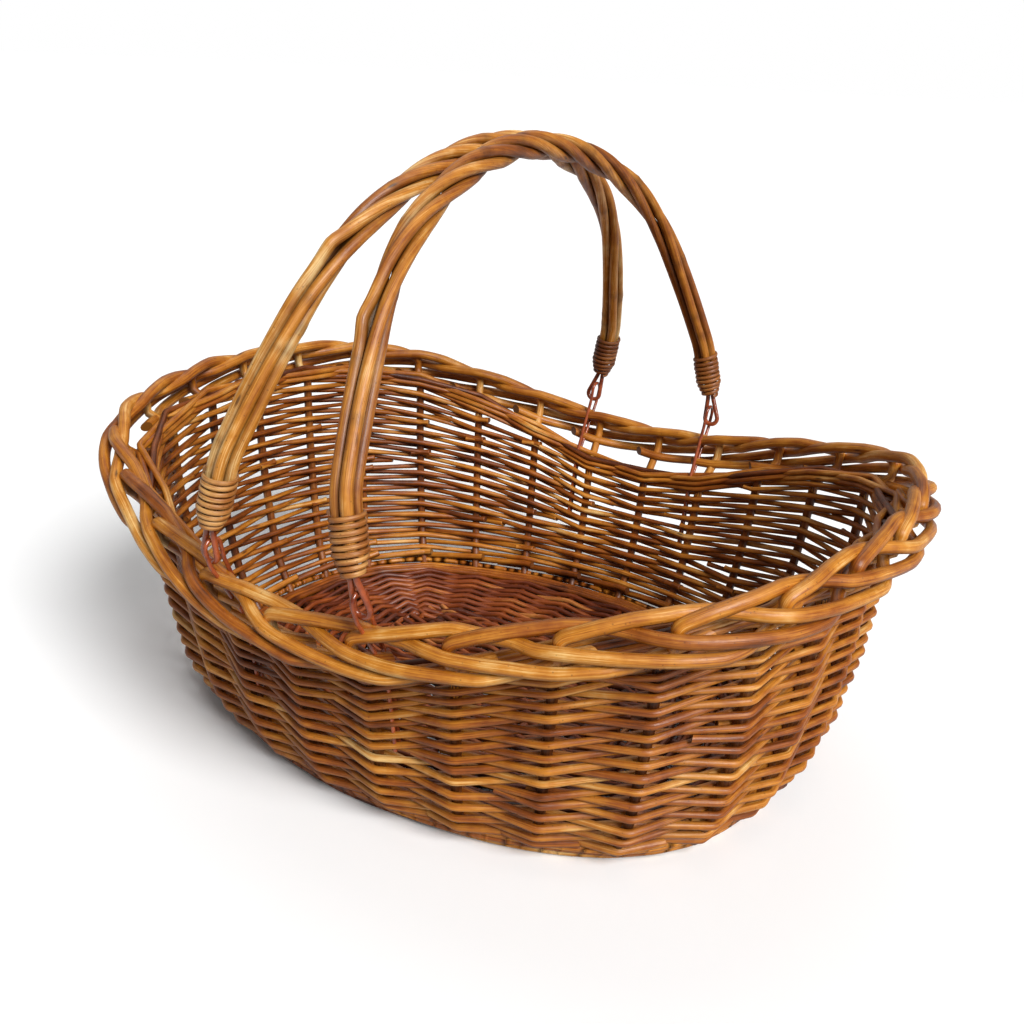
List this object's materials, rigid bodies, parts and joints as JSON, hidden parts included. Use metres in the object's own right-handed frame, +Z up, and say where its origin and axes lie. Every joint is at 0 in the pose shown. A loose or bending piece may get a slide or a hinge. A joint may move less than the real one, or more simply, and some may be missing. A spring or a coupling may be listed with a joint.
{
  "type": "trug garden basket",
  "caption": "Oval woven willow garden basket with raised ends, a rolled rod border, a flat foot and two twisted willow swing handles.",
  "frame": {"origin": "middle of the basket on the surface it stands on", "axes": "+X along the length, +Y across it towards the far long side, +Z up"},
  "size_m": [0.4792, 0.3974, 0.338],
  "materials": {
    "willow_weave": "varnished willow weavers",
    "willow_border": "varnished willow rods",
    "willow_stake": "varnished willow stake",
    "willow_stick": "varnished willow stick",
    "willow_handle": "varnished willow rod, semi-gloss",
    "willow_skein": "varnished willow skein",
    "cane_loop": "glossy cane"
  },
  "bodies": {
    "basket": {"base_cross_sticks": "willow_stick", "base_long_sticks": "willow_stick", "base_weave": "willow_weave", "foot_wale": "willow_weave", "side_stakes": "willow_stake", "side_weave_lower": "willow_weave", "side_weave_upper": "willow_weave", "top_wale": "willow_weave", "rim_border": "willow_border", "left_near_link": "cane_loop", "left_far_link": "cane_loop", "right_near_link": "cane_loop", "right_far_link": "cane_loop"},
    "left_handle": {"left_handle_rod_1": "willow_handle", "left_handle_rod_2": "willow_handle", "left_handle_rod_3": "willow_handle", "left_handle_rod_4": "willow_handle", "left_near_binding": "willow_skein", "left_far_binding": "willow_skein", "left_near_eye": "cane_loop", "left_far_eye": "cane_loop"},
    "right_handle": {"right_handle_rod_1": "willow_handle", "right_handle_rod_2": "willow_handle", "right_handle_rod_3": "willow_handle", "right_handle_rod_4": "willow_handle", "right_near_binding": "willow_skein", "right_far_binding": "willow_skein", "right_near_eye": "cane_loop", "right_far_eye": "cane_loop"}
  },
  "joints": [
    {"name": "left_handle_swing", "type": "hinge", "parent": "basket", "child": "left_handle", "pos_m": [-0.0455, 0, 0.154], "axis": [0, -1, 0], "range_deg": [0, 90]},
    {"name": "right_handle_swing", "type": "hinge", "parent": "basket", "child": "right_handle", "pos_m": [0.0455, 0, 0.154], "axis": [0, 1, 0], "range_deg": [0, 90]}
  ]
}
